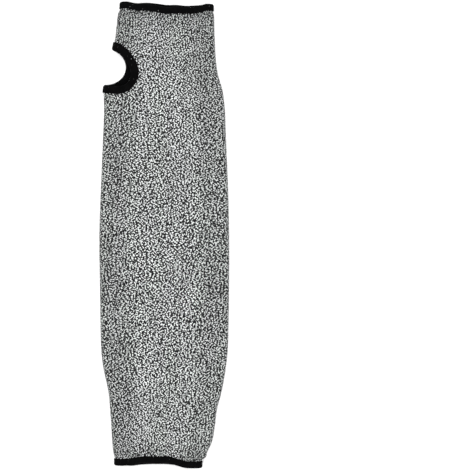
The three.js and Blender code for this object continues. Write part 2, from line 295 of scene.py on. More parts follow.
def crown_height(place, across, rise):
    """Height of the top layer above the folds' own."""
    dents = sum(
        DENT_DEPTH * dent["deep"]
        * hump((place / LENGTH - dent["along"]) / dent["long"])
        * hump((across - dent["across"]) / dent["broad"])
        for dent in DENTS
    )
    return rise * hump(across) - dents


def lift(w, place):
    """How far the knit is held off the table beside the thicker hems."""
    from_edge = np.minimum(place, LENGTH - place) - EDGE_HEM_WIDTH - LIFT_START
    from_thumb = np.hypot(w, place - THUMB_PLACE) - THUMB_REACH_TOP - THUMB_HEM_WIDTH - LIFT_START
    return HEM_PROUD * (1 - smooth(from_edge / LIFT_RUN) * smooth(from_thumb / LIFT_RUN))


def sleeve_points(w, place, off):
    """Points of the sleeve. w runs round the wall from the crest of the -X fold over the top layer."""
    w, place, off = np.broadcast_arrays(w, place, off)
    left, right, rise = section(place)
    flat = right - left
    quarter = math.pi / 2 * FOLD_RADIUS
    w = np.mod(w, girth(place))
    top_end, under_start = quarter + flat, 3 * quarter + flat
    is_top = (w >= quarter) & (w < top_end)
    is_right = (w >= top_end) & (w < under_start)
    is_under = (w >= under_start) & (w < under_start + flat)
    signed = np.where(w < top_end, w, w - girth(place))
    centre = WALL / 2 + FOLD_RADIUS + lift(np.where(is_right, FAR, signed), place)
    radius = FOLD_RADIUS + off

    turn = np.where(is_right, math.pi / 2 - (w - top_end) / FOLD_RADIUS, signed / FOLD_RADIUS)
    side = np.where(is_right, 1.0, -1.0)
    x = np.where(is_right, right, left) + side * radius * np.cos(turn)
    z = centre + radius * np.sin(turn)
    across = side

    on_top = 2 * (w - quarter) / flat - 1
    nudge = 0.01
    slope = crown_height(place, on_top + nudge, rise) - crown_height(place, on_top - nudge, rise)
    slope = slope / (nudge * flat)
    steep = np.hypot(1, slope)
    x = np.where(is_top, left + (w - quarter) - off * slope / steep, x)
    z = np.where(is_top, centre + FOLD_RADIUS + crown_height(place, on_top, rise) + off / steep, z)
    across = np.where(is_top, on_top, across)

    beneath = w - under_start
    x = np.where(is_under, right - beneath, x)
    z = np.where(is_under, centre - radius, z)
    across = np.where(is_under, 1 - 2 * beneath / flat, across)

    hand = np.where(is_under, read(HAND_EDGE, "across", "under", across),
                    read(HAND_EDGE, "across", "top", across))
    arm = np.where(is_under, read(ARM_EDGE, "across", "under", across),
                   read(ARM_EDGE, "across", "top", across))
    wave = HAND_WAVE * hand * (1 - smooth((LENGTH - place) / WAVE_RUN))
    wave = wave + ARM_WAVE * arm * (1 - smooth(place / WAVE_RUN))
    return np.stack([x + MIDDLE[0], place + wave + MIDDLE[1], np.maximum(z, 0)], axis=-1)


def thumb_edge(angle, margin):
    """The thumb hole's edge in the unrolled wall, margin outside the end of its hem."""
    cos, sin = np.cos(angle), np.sin(angle)
    reach = np.where(cos > 0, THUMB_REACH_TOP, THUMB_REACH_UNDER)
    sweep = np.where(cos > 0, THUMB_SWEEP_TOP, THUMB_SWEEP_UNDER)
    soft = np.hypot(cos, THUMB_BEND)
    full = math.hypot(1, THUMB_BEND) - THUMB_BEND
    w = reach * cos
    place = THUMB_PLACE + THUMB_LENGTH / 2 * sin - sweep * (soft - THUMB_BEND) / full
    dw = -reach * sin
    dplace = THUMB_LENGTH / 2 * cos + sweep * cos * sin / (soft * full)
    pace = np.hypot(dw, dplace)
    return w + margin * dplace / pace, place - margin * dw / pace


def drift(rng, share, along, waves=7):
    """A smooth random field over the unrolled sleeve, about -1 to 1, that closes round the girth."""
    field = 0
    for _ in range(waves):
        turns, runs = rng.integers(-3, 4), rng.uniform(-5, 5)
        field = field + np.sin(2 * math.pi * (turns * share + runs * along + rng.uniform()))
    return field / math.sqrt(waves)


# Meshes

# Faces of one kind: their vertices and two UV maps, an entry for each corner
Patch = namedtuple("Patch", "vertices stitches bake smooth_faces")


def mesh_object(name, points, patches, materials, slots):
    """A mesh from patches, without the points that no face uses."""
    loops = np.concatenate([patch.vertices.ravel() for patch in patches])
    sizes = np.concatenate([np.full(len(p.vertices), p.vertices.shape[1]) for p in patches])
    used, loops = np.unique(loops, return_inverse=True)
    mesh = bpy.data.meshes.new(name)
    mesh.vertices.add(len(used))
    mesh.vertices.foreach_set("co", points[used].ravel())
    mesh.loops.add(len(loops))
    mesh.loops.foreach_set("vertex_index", loops.astype(np.int32))
    mesh.polygons.add(len(sizes))
    mesh.polygons.foreach_set("loop_start", np.concatenate([[0], np.cumsum(sizes)[:-1]]).astype(np.int32))
    mesh.update(calc_edges=True)
    smooth_flags = np.concatenate([np.full(len(p.vertices), p.smooth_faces) for p in patches])
    mesh.polygons.foreach_set("use_smooth", smooth_flags)
    slot_of = np.concatenate([np.full(len(p.vertices), s) for p, s in zip(patches, slots)])
    mesh.polygons.foreach_set("material_index", slot_of.astype(np.int32))
    for layer, key in (("Stitches", "stitches"), ("OFBake", "bake")):
        corners = np.concatenate([getattr(patch, key).reshape(-1, 2) for patch in patches])
        mesh.uv_layers.new(name=layer).data.foreach_set("uv", corners.ravel())
    for material in materials:
        mesh.materials.append(material)
    if mesh.validate():
        raise RuntimeError(f"{name} has faulty faces")
    made = bpy.data.objects.new(name, mesh)
    bpy.context.scene.collection.objects.link(made)
    return made


def knit_points(knit):
    """The whole knit's grid: outer points for each column and half course, inner ones for each stitch."""
    rng = np.random.default_rng(11)
    column = np.arange(4 * knit.wales)[:, None]
    row = np.arange(2 * knit.courses + 1)[None, :]
    pitch = (LENGTH - 2 * RAW_EDGE) / knit.courses
    share = column / (4 * knit.wales)
    along = row / (2 * knit.courses)
    calm = smooth(along * (1 - along) * CALM_ENDS)
    part = column % 4
    place = RAW_EDGE + row * pitch / 2 + RELIEF["rise"][part] * knit.leg_rise * pitch
    place = place + calm * knit.wander * drift(rng, share, along)
    place = place + knit.unevenness * rng.standard_normal(place.shape).clip(-2, 2)
    stray = EDGE_STRAY * pitch
    place = place.clip(RAW_EDGE - stray, LENGTH - RAW_EDGE + stray)
    sideways = knit.wander * drift(rng, share, along)
    sideways = sideways + knit.unevenness * rng.standard_normal(place.shape).clip(-2, 2)
    full = RELIEF["full"][part] - knit.unevenness * rng.uniform(0, 1.5, place.shape)
    pinch = RELIEF["pinch"][part] - knit.unevenness * rng.uniform(0, 1.5, place.shape)
    off = np.where(row % 2 == 1, full, pinch)
    outer = sleeve_points(share * girth(place) + sideways, place, off)
    wale = np.arange(knit.wales)[:, None] / knit.wales
    course = RAW_EDGE + np.arange(knit.courses + 1)[None, :] * pitch
    inner_side = sideways[::4, ::2]
    inner = sleeve_points(wale * girth(course) + inner_side, course, -WALL / 2)
    return outer, inner


def inside_thumb_hole(w, place):
    """Whether points of the unrolled wall lie within the cut edge of the knit at the thumb hole."""
    angle = np.linspace(0, 2 * math.pi, 241)
    edge_w, edge_place = thumb_edge(angle, RAW_THUMB_EDGE)
    inside = np.zeros(w.shape, dtype=bool)
    for a, b, c, d in zip(edge_w[:-1], edge_place[:-1], edge_w[1:], edge_place[1:]):
        spans = (b > place) != (d > place)
        reach = a + (place - b) * (c - a) / (d - b if d != b else 1e-12)
        inside ^= spans & (w < reach)
    return inside


def kept_stitches(knit):
    """Which stitches the knit keeps. None hangs on by one corner."""
    wale = (np.arange(knit.wales)[:, None] + 0.5) / knit.wales
    pitch = (LENGTH - 2 * RAW_EDGE) / knit.courses
    place = RAW_EDGE + (np.arange(knit.courses)[None, :] + 0.5) * pitch
    around = girth(place)
    w = wale * around
    w = np.where(w > around / 2, w - around, w)
    kept = ~inside_thumb_hole(w, np.broadcast_to(place, w.shape))
    while True:
        here, right = kept, np.roll(kept, -1, axis=0)
        falling = here[:, :-1] & right[:, 1:] & ~here[:, 1:] & ~right[:, :-1]
        rising = here[:, 1:] & right[:, :-1] & ~here[:, :-1] & ~right[:, 1:]
        if not (falling | rising).any():
            return kept
        kept = kept.copy()
        kept[:, :-1] &= ~falling
        kept[:, 1:] &= ~rising


# Shares of the bake map's height that the outer face, the inner face and the rims take
BAKE_OUTER = (0.0, 0.80)
BAKE_INNER = (0.81, 0.965)
BAKE_RIM = (0.975, 0.998)


def knit_band(name, knit, outer, inner, kept, first, last, materials):
    """One band of the knit as a closed wall, from its first course to its last."""
    wales, courses = knit.wales, last - first
    outer_rows, inner_rows = 2 * courses + 1, courses + 1
    outer = outer[:, 2 * first:2 * last + 1].reshape(-1, 3)
    inner = inner[:, first:last + 1].reshape(-1, 3)
    points = np.concatenate([outer, inner])
    kept = kept[:, first:last]

    def on_outer(i, j):
        return (i % (4 * wales)) * outer_rows + j

    def on_inner(k, m):
        return len(outer) + (k % wales) * inner_rows + m

    def corners(index_of, i, j, columns, rows, band):
        across, along = np.stack(i, axis=-1) / columns, np.stack(j, axis=-1) / rows
        vertices = np.stack([index_of(a, b) for a, b in zip(i, j)], axis=-1)
        stitches = np.stack([across * wales, first + along * courses], axis=-1)
        bake = np.stack([across, band[0] + along * (band[1] - band[0])], axis=-1)
        return Patch(vertices, stitches, bake, True)

    i, j = np.nonzero(np.repeat(np.repeat(kept, 4, axis=0), 2, axis=1))
    outside = corners(on_outer, (i, i + 1, i + 1, i), (j, j, j + 1, j + 1),
                      4 * wales, 2 * courses, BAKE_OUTER)
    k, m = np.nonzero(kept)
    inside = corners(on_inner, (k, k, k + 1, k + 1), (m, m + 1, m + 1, m),
                     wales, courses, BAKE_INNER)

    # Rims: the stitch edges that no kept neighbour shares
    fenced = np.pad(kept, ((0, 0), (1, 1)))
    before, after = fenced[:, :-2], fenced[:, 2:]
    left, right = np.roll(kept, 1, axis=0), np.roll(kept, -1, axis=0)
    rims = []
    for neighbour, kind in ((before, "low"), (after, "high"), (left, "left"), (right, "right")):
        k, m = np.nonzero(kept & ~neighbour)
        four, two = np.arange(5), np.arange(3)
        if kind == "low":
            chain = [on_outer(4 * k + s, 2 * m) for s in four[::-1]]
            chain += [on_inner(k, m), on_inner(k + 1, m)]
        elif kind == "high":
            chain = [on_outer(4 * k + s, 2 * m + 2) for s in four]
            chain += [on_inner(k + 1, m + 1), on_inner(k, m + 1)]
        elif kind == "left":
            chain = [on_outer(4 * k, 2 * m + s) for s in two]
            chain += [on_inner(k, m + 1), on_inner(k, m)]
        else:
            chain = [on_outer(4 * k + 4, 2 * m + s) for s in two[::-1]]
            chain += [on_inner(k + 1, m), on_inner(k + 1, m + 1)]
        if len(k):
            rims.append((np.stack(chain, axis=-1), k, m))
    total = sum(len(k) for _, k, _ in rims)
    patches, done = [outside, inside], 0
    for vertices, k, m in rims:
        count, size = vertices.shape
        steps = size - 3
        run = np.concatenate([np.arange(steps + 1) / steps, [1.0, 0.0]])
        height = np.concatenate([np.zeros(steps + 1), [1.0, 1.0]])
        cell = (done + np.arange(count))[:, None]
        bake_u = (cell + 0.1 + 0.8 * run[None, :]) / total
        bake_v = BAKE_RIM[0] + height * (BAKE_RIM[1] - BAKE_RIM[0]) + 0 * bake_u
        stitches = np.stack([k[:, None] + run[None, :], first + m[:, None] + height[None, :]], axis=-1)
        patches.append(Patch(vertices, stitches, np.stack([bake_u, bake_v], axis=-1), False))
        done += count
    slots = [0, 1] + [0] * len(rims)
    return mesh_object(name, points, patches, materials, slots)


# The overlock stitching. Threads lean by a share of their pitch over the width, and the needle's line lies
# at a share of the width.
THREAD_STEPS = 6
THREAD_LEAN = 0.55
THREAD_UNEVEN = 0.35
TIP_ROUND = 0.7
NEEDLE_PLACE = 0.7
NEEDLE_BREADTH = 0.0004
NEEDLE_DEPTH = 0.00016


def hem_profile(width, channel_steps):
    """Section of a hem as rows of back, off and the outward direction of each, all the way round it."""
    rim = 0.35 * HEM_THREAD
    outside = [(width, HEM_HALF - HEM_THREAD + rim, 1.0, 0.0),
               (width - rim / 2, HEM_HALF - rim / 2, 0.7, 0.7)]
    for back in np.linspace(width - 1.6 * rim, HEM_HALF, 8):
        outside.append((back, HEM_HALF, 0.0, 1.0))
    for turn in (0.22, 0.42, 0.62, 0.82):
        angle = turn * math.pi / 2
        outside.append((HEM_HALF * (1 - math.sin(angle)), HEM_HALF * math.cos(angle),
                        -math.sin(angle), math.cos(angle)))
    tip = [(0.0, 0.0, -1.0, 0.0)]
    mirrored = [(back, -off, nb, -no) for back, off, nb, no in reversed(outside)]
    seat = WALL / 2 + SEAT
    channel = [(back, seat, 0.0, 0.0) for back in np.linspace(HEM_THREAD, width, channel_steps + 1)]
    under = [(back, -off, 0.0, 0.0) for back, off, _, _ in reversed(channel)]
    return np.array(outside + tip + mirrored + under + channel)


def hem_object(name, hems, width, stations, place_of, channel_steps, materials):
    """A hem: threads laid side by side over the raw edge. place_of(station, back, off) gives the points."""
    profile = hem_profile(width, channel_steps)
    back, off, lean_back, lean_off = profile.T
    count = len(stations["thread"])
    threads = stations["thread"]
    lean = THREAD_LEAN * np.sign(off) * np.clip(back / width, 0, 1)
    thread = threads[:, None] + lean
    across = 2 * np.mod(thread, 1) - 1
    groove = 1 - np.sqrt(np.clip(1 - across ** 2, 0, 1))
    rng = np.random.default_rng(len(name))
    reached = np.arange(count)[:, None] / count
    uneven = 1 + THREAD_UNEVEN * drift(rng, reached, 9 * reached)
    relief = -hems.thread_round * groove * uneven
    needle = np.exp(-((back - NEEDLE_PLACE * width) / NEEDLE_BREADTH) ** 2)[None, :]
    stitch = 0.5 + 0.5 * np.cos(2 * math.pi * stations["run"][:, None] / hems.needle_stitch)
    relief = relief - NEEDLE_DEPTH * needle * stitch
    border = (lean_back > 0.5)[None, :]
    relief = relief + np.where(border, hems.scallop * np.cos(2 * math.pi * thread), 0)
    tip = np.clip(-lean_back, 0, 1)[None, :]
    relief = relief - tip * hems.thread_round * TIP_ROUND * (1 - np.cos(2 * math.pi * thread)) / 2
    relief = np.where((lean_back == 0)[None, :] & (lean_off == 0)[None, :], 0, relief)
    points = place_of(np.arange(count)[:, None], back + lean_back * relief, off + lean_off * relief)

    size = len(profile)
    i, j = np.meshgrid(np.arange(count), np.arange(size), indexing="ij")
    i, j = i.ravel(), j.ravel()
    run = np.concatenate([[0], np.cumsum(np.hypot(*np.diff(profile[:, :2], axis=0).T))])
    run = np.append(run, run[-1] + np.hypot(*(profile[0, :2] - profile[-1, :2])))
    run = run / run[-1]
    corner_i, corner_j = (i, i + 1, i + 1, i), (j, j, j + 1, j + 1)
    vertices = np.stack([(a % count) * size + b % size for a, b in zip(corner_i, corner_j)], axis=-1)
    a, b = np.stack(corner_i, axis=-1), np.stack(corner_j, axis=-1)
    whole = np.append(threads, count // THREAD_STEPS)
    slant = np.append(lean, THREAD_LEAN)
    stitches = np.stack([whole[a] + slant[b], run[b] * 4], axis=-1)

    # The bake map holds the hem as strips, one above the other
    strips = 4
    strip = np.minimum((i * strips) // count, strips - 1)[:, None]
    share = a / count * strips - strip
    bake = np.stack([0.01 + 0.98 * share, (strip + 0.02 + 0.96 * run[b]) / strips], axis=-1)

    flat = points.reshape(-1, 3)
    tri = flat[vertices]
    normal = np.cross(tri[:, 1] - tri[:, 0], tri[:, 2] - tri[:, 0])
    middle = tri.mean(axis=1)
    if np.sum(normal * middle) < 0:
        vertices, stitches, bake = vertices[:, ::-1], stitches[:, ::-1], bake[:, ::-1]
    return mesh_object(name, flat, [Patch(vertices, stitches, bake, True)], materials, [0])


def thread_stations(perimeter, pitch):
    """Even stations along an edge of that length, with a whole number of threads."""
    threads = round(perimeter / pitch)
    thread = np.arange(threads * THREAD_STEPS) / THREAD_STEPS
    return {"thread": thread, "run": thread * perimeter / threads, "share": thread / threads}


def edge_hem(name, hems, is_hand, materials):
    """The hem of one end."""
    def edge_place(back):
        return LENGTH - back if is_hand else back

    around = float(girth(np.array(edge_place(0.0))))
    stations = thread_stations(around, hems.thread_pitch)

    def place_of(station, back, off):
        place = edge_place(back)
        return sleeve_points(stations["share"][station] * girth(place), place, off)

    return hem_object(name, hems, EDGE_HEM_WIDTH, stations, place_of, 2, materials)


def thumb_hem(name, hems, materials):
    """The hem of the thumb hole, which bends round the side fold."""
    angle = np.linspace(0, 2 * math.pi, 2001)
    w, place = thumb_edge(angle, THUMB_HEM_WIDTH / 2)
    reached = np.concatenate([[0], np.cumsum(np.hypot(np.diff(w), np.diff(place)))])
    stations = thread_stations(reached[-1], hems.thread_pitch)
    angles = np.interp(stations["run"], reached, angle)

    def place_of(station, back, off):
        return sleeve_points(*thumb_edge(angles[station], back), off)

    return hem_object(name, hems, THUMB_HEM_WIDTH, stations, place_of, 6, materials)


# Materials

class NodeBuilder:
    """Adds nodes to a tree and links them by socket name."""

    def __init__(self, tree):
        self.tree = tree

    def add(self, kind, settings=None, **inputs):
        node = self.tree.nodes.new(kind)
        for key, value in (settings or {}).items():
            setattr(node, key, value)
        for key, value in inputs.items():
            index = int(key[2:]) if key.startswith("in") and key[2:].isdigit() else key.replace("_", " ")
            self.feed(node.inputs[index], value)
        return node

    def feed(self, socket, value):
        if isinstance(value, bpy.types.NodeSocket):
            self.tree.links.new(value, socket)
        else:
            socket.default_value = value

    def math(self, operation, *values):
        node = self.tree.nodes.new("ShaderNodeMath")
        node.operation = operation
        for socket, value in zip(node.inputs, values):
            self.feed(socket, value)
        return node.outputs[0]

    def mix(self, share, first, second):
        node = self.tree.nodes.new("ShaderNodeMix")
        node.data_type = "RGBA"
        for name, value in (("Factor_Float", share), ("A_Color", first), ("B_Color", second)):
            socket = next(s for s in node.inputs if s.identifier == name)
            self.feed(socket, (*value, 1.0) if isinstance(value, tuple) and len(value) == 3 else value)
        return next(s for s in node.outputs if s.identifier == "Result_Color")

    def ramp(self, value, low, high, to_low=0.0, to_high=1.0):
        node = self.add("ShaderNodeMapRange", {"interpolation_type": "SMOOTHSTEP"}, Value=value)
        for name, number in (("From Min", low), ("From Max", high), ("To Min", to_low), ("To Max", to_high)):
            self.feed(node.inputs[name], number)
        return node.outputs["Result"]


def new_group(name, inputs, outputs):
    """A shader node group with named sockets. inputs and outputs are (name, kind) pairs."""
    group = bpy.data.node_groups.new(name, "ShaderNodeTree")
    for sockets, side in ((inputs, "INPUT"), (outputs, "OUTPUT")):
        for label, kind in sockets:
            group.interface.new_socket(label, in_out=side, socket_type=f"NodeSocket{kind}")
    nodes = NodeBuilder(group)
    return group, nodes, nodes.add("NodeGroupInput").outputs, nodes.add("NodeGroupOutput").inputs


def stitch_cells_group():
    """Which strand of yarn a point lies on, and where on it."""
    group, nodes, given, result = new_group(
        "Stitch cells",
        [("Stitches", "Vector"), ("Strands", "Float")],
        [("Cell", "Vector"), ("Across", "Float"), ("Along", "Float")])
    split = nodes.add("ShaderNodeSeparateXYZ", Vector=given["Stitches"]).outputs
    strands = nodes.math("MULTIPLY", split["X"], given["Strands"])
    cell = nodes.add("ShaderNodeCombineXYZ", X=nodes.math("FLOOR", strands),
                     Y=nodes.math("FLOOR", split["Y"]))
    across = nodes.math("MULTIPLY_ADD", nodes.math("FRACT", strands), 2.0, -1.0)
    nodes.feed(result["Cell"], cell.outputs[0])
    nodes.feed(result["Across"], across)
    nodes.feed(result["Along"], nodes.math("FRACT", split["Y"]))
    return group


# The marl's twist, in turns: what it gains for each wale and from one leg of a stitch to the other, how
# far its slack, each stitch and each strand stray by chance, and what it turns along and across a strand
TURN_WALE = 0.6
TURN_LEG = 0.45
TURN_SLACK = 2.0
TURN_STITCH = 0.32
TURN_STRAND = 0.4
TURN_ALONG = -0.34
TURN_ACROSS = 0.22

# Under 0 the dark strand shows more than the pale one. The border between them is soft over that share.
STRAND_BALANCE = -0.65
STRAND_BORDER = 0.13


def marl_yarn_group():
    """Two strands twisted together, one dark and one pale, as the stitches of the knit show them.

    The twist gains about half a turn from one wale to the next, unevenly, so dark and pale stitches tend
    to take turns along a course. Each course starts anywhere.
    """
    group, nodes, given, result = new_group(
        "Marl yarn",
        [("Cell", "Vector"), ("Across", "Float"), ("Along", "Float"), ("Strands", "Float"), ("Dark", "Color"),
         ("Pale", "Color"), ("Balance", "Float")],
        [("Color", "Color"), ("Height", "Float")])
    place = nodes.add("ShaderNodeSeparateXYZ", Vector=given["Cell"]).outputs
    wale = nodes.math("FLOOR", nodes.math("DIVIDE", place["X"], given["Strands"]))
    leg = nodes.math("SUBTRACT", place["X"], nodes.math("MULTIPLY", wale, given["Strands"]))
    course = nodes.add("ShaderNodeTexWhiteNoise", {"noise_dimensions": "1D"}, W=place["Y"]).outputs["Value"]
    strand = nodes.add("ShaderNodeTexWhiteNoise", {"noise_dimensions": "2D"}, Vector=given["Cell"])
    chance = nodes.add("ShaderNodeSeparateColor", Color=strand.outputs["Color"]).outputs
    stitch = nodes.add("ShaderNodeCombineXYZ", X=nodes.math("ADD", wale, 0.5), Y=place["Y"])
    own = nodes.add("ShaderNodeTexWhiteNoise", {"noise_dimensions": "2D"}, Vector=stitch.outputs[0])
    slack = nodes.add("ShaderNodeTexNoise", {"noise_dimensions": "2D"}, Scale=1.0, Detail=1.0,
                      Vector=nodes.add("ShaderNodeVectorMath", {"operation": "MULTIPLY"},
                                       in0=stitch.outputs[0], in1=(0.21, 5.3, 0.0)).outputs[0])
    turn = nodes.math("MULTIPLY_ADD", wale, TURN_WALE, course)
    turn = nodes.math("MULTIPLY_ADD", leg, TURN_LEG, turn)
    turn = nodes.math("MULTIPLY_ADD", slack.outputs["Fac"], TURN_SLACK, turn)
    turn = nodes.math("MULTIPLY_ADD", own.outputs["Value"], TURN_STITCH, turn)
    turn = nodes.math("MULTIPLY_ADD", chance["Red"], TURN_STRAND, turn)
    side = nodes.math("MULTIPLY_ADD", leg, -2.0, 1.0)
    climb = nodes.math("MULTIPLY", nodes.math("ADD", given["Along"], -0.5), TURN_ALONG)
    turn = nodes.math("MULTIPLY_ADD", climb, side, turn)
    turn = nodes.math("MULTIPLY_ADD", given["Across"], TURN_ACROSS, turn)
    twist = nodes.math("SINE", nodes.math("MULTIPLY", turn, 2 * math.pi))
    pale = nodes.ramp(nodes.math("ADD", twist, given["Balance"]), -STRAND_BORDER, STRAND_BORDER)
    tone_and_gutter_shade = nodes.math("MULTIPLY_ADD", chance["Blue"], 0.14, 0.86)
    # Painted shade: each strand is darkened towards its edges, where the gutters between strands lie in
    # shade. The random tone above is the yarn's own.
    edge = nodes.math("POWER", nodes.math("ABSOLUTE", given["Across"]), 3.0)
    tone_and_gutter_shade = nodes.math("MULTIPLY", tone_and_gutter_shade, nodes.math("MULTIPLY_ADD", edge, -0.25, 1.0))
    dark = nodes.add("ShaderNodeVectorMath", {"operation": "SCALE"}, in0=given["Dark"],
                     Scale=nodes.math("MULTIPLY_ADD", chance["Green"], 1.8, 0.3))
    color = nodes.mix(pale, dark.outputs[0], given["Pale"])
    shaded = nodes.add("ShaderNodeVectorMath", {"operation": "SCALE"}, in0=color, Scale=tone_and_gutter_shade)
    ridge = nodes.math("MULTIPLY", nodes.math("COSINE", nodes.math("MULTIPLY", turn, 4 * math.pi)), 0.5)
    nodes.feed(result["Color"], shaded.outputs[0])
    nodes.feed(result["Height"], ridge)
    return group


def yarn_fibres_group():
    """Fine fibres that run along a strand: a shade from dark to pale, and a height."""
    group, nodes, given, result = new_group(
        "Yarn fibres",
        [("Stitches", "Vector"), ("Across Count", "Float"), ("Along Count", "Float")],
        [("Shade", "Float"), ("Height", "Float")])
    split = nodes.add("ShaderNodeSeparateXYZ", Vector=given["Stitches"]).outputs
    lean = nodes.math("MULTIPLY_ADD", split["Y"], 0.4, split["X"])
    place = nodes.add("ShaderNodeCombineXYZ", X=nodes.math("MULTIPLY", lean, given["Across Count"]),
                      Y=nodes.math("MULTIPLY", split["Y"], given["Along Count"]))
    noise = nodes.add("ShaderNodeTexNoise", {"noise_dimensions": "2D"}, Vector=place.outputs[0],
                      Scale=1.0, Detail=2.0)
    nodes.feed(result["Shade"], nodes.ramp(noise.outputs["Fac"], 0.3, 0.7, 0.8, 1.14))
    nodes.feed(result["Height"], noise.outputs["Fac"])
    return group


def tone_clouds_group():
    """Broad soft changes of tone, drawn out Run times along the sleeve, and a faint change of tint."""
    group, nodes, given, result = new_group(
        "Tone clouds", [("Size", "Float"), ("Run", "Float"), ("Low", "Float"), ("High", "Float")],
        [("Tone", "Float"), ("Tint", "Color")])
    place = nodes.add("ShaderNodeTexCoord").outputs["Object"]
    split = nodes.add("ShaderNodeSeparateXYZ", Vector=place).outputs
    drawn = nodes.add("ShaderNodeCombineXYZ", X=split["X"], Y=nodes.math("DIVIDE", split["Y"], given["Run"]),
                      Z=split["Z"])
    noise = nodes.add("ShaderNodeTexNoise", Vector=drawn.outputs[0], Scale=given["Size"], Detail=3.0)
    hue = nodes.add("ShaderNodeSeparateColor", Color=noise.outputs["Color"]).outputs["Green"]
    nodes.feed(result["Tone"], nodes.ramp(noise.outputs["Fac"], 0.3, 0.7, given["Low"], given["High"]))
    nodes.feed(result["Tint"], nodes.mix(nodes.ramp(hue, 0.35, 0.65), (0.985, 1.0, 0.98), (1.0, 0.99, 1.0)))
    return group


# Where the painted shade ends: as shares of the way from a side fold to the middle of a layer, and in
# courses from the knit's raw edge
FOLD_SHADE = (0.33, 0.62)
HEM_SHADE = (2.0, 17.0)


def painted_shade_group():
    """Painted shade: the knit is darker towards its side folds, where its curve turns from the light, and
    beside the hems, which shade it.
    """
    group, nodes, given, result = new_group(
        "Lay tone",
        [("Stitches", "Vector"), ("Wales", "Float"), ("Courses", "Float"), ("Folds", "Float"),
         ("Middle", "Float"), ("Hand End", "Float"), ("Arm End", "Float")],
        [("Tone", "Float")])
    split = nodes.add("ShaderNodeSeparateXYZ", Vector=given["Stitches"]).outputs
    quarter = nodes.math("DIVIDE", given["Wales"], 4.0)
    inward = nodes.math("DIVIDE", nodes.math("PINGPONG", split["X"], quarter), quarter)
    tone = nodes.ramp(inward, *FOLD_SHADE, given["Folds"], given["Middle"])
    to_hand = nodes.math("SUBTRACT", given["Courses"], split["Y"])
    tone = nodes.math("MULTIPLY", tone, nodes.ramp(to_hand, *HEM_SHADE, given["Hand End"], 1.0))
    tone = nodes.math("MULTIPLY", tone, nodes.ramp(split["Y"], *HEM_SHADE, given["Arm End"], 1.0))
    nodes.feed(result["Tone"], tone)
    return group


def shared_group(name, build):
    return bpy.data.node_groups.get(name) or build()


def place_group(nodes, name, build, **inputs):
    node = nodes.add("ShaderNodeGroup", {"node_tree": shared_group(name, build)})
    for key, value in inputs.items():
        nodes.feed(node.inputs[key.replace("_", " ")], value)
    return node.outputs


def new_material(name):
    material = bpy.data.materials.new(name)
    material.use_nodes = True
    tree = material.node_tree
    tree.nodes.clear()
    nodes = NodeBuilder(tree)
    shader = nodes.add("ShaderNodeBsdfPrincipled")
    output = nodes.add("ShaderNodeOutputMaterial")
    tree.links.new(shader.outputs[0], output.inputs["Surface"])
    return material, nodes, shader


def rgba(color):
    return (*color, 1.0)


def knit_material(name, knit, strands, swapped):
    """Marl knit: the face of the knit has two legs for each stitch, the inside one bar."""
    material, nodes, shader = new_material(name)
    stitches = nodes.add("ShaderNodeUVMap", {"uv_map": "Stitches"}).outputs[0]
    cells = place_group(nodes, "Stitch cells", stitch_cells_group, Stitches=stitches, Strands=strands)
    across, along = cells["Across"], cells["Along"]
    if swapped:
        across, along = along, across
    marl = place_group(nodes, "Marl yarn", marl_yarn_group, Cell=cells["Cell"], Across=across, Along=along,
                       Strands=strands, Dark=rgba(knit.dark_yarn), Pale=rgba(knit.pale_yarn),
                       Balance=STRAND_BALANCE)
    fibres = place_group(nodes, "Yarn fibres", yarn_fibres_group, Stitches=stitches, Across_Count=14.0,
                         Along_Count=5.0)
    clouds = place_group(nodes, "Tone clouds", tone_clouds_group, Size=75.0, Run=6.0, Low=0.93, High=1.06)
    # Painted shade and light: the knit is darker towards the side folds and beside the hems, and a little
    # lighter in the middle of each layer
    painted_shade = place_group(nodes, "Lay tone", painted_shade_group, Stitches=stitches, Wales=float(knit.wales),
                      Courses=float(knit.courses), Folds=0.80, Middle=1.03, Hand_End=0.68, Arm_End=0.82)
    tone = nodes.math("MULTIPLY", nodes.math("MULTIPLY", fibres["Shade"], clouds["Tone"]), painted_shade["Tone"])
    tinted = nodes.add("ShaderNodeVectorMath", {"operation": "MULTIPLY"}, in0=marl["Color"],
                       in1=clouds["Tint"])
    color = nodes.add("ShaderNodeVectorMath", {"operation": "SCALE"}, in0=tinted.outputs[0], Scale=tone)
    nodes.feed(shader.inputs["Base Color"], color.outputs[0])
    nodes.feed(shader.inputs["Roughness"], nodes.ramp(fibres["Height"], 0.2, 0.8, 0.98, 0.84))
    shader.inputs["Sheen Weight"].default_value = 0.04
    shader.inputs["Sheen Roughness"].default_value = 0.5
    shader.inputs["Specular IOR Level"].default_value = 0.25
    height = nodes.math("MULTIPLY_ADD", fibres["Height"], 0.5, marl["Height"])
    bump = nodes.add("ShaderNodeBump", Strength=0.5, Distance=0.00012, Height=height)
    nodes.feed(shader.inputs["Normal"], bump.outputs[0])
    return material


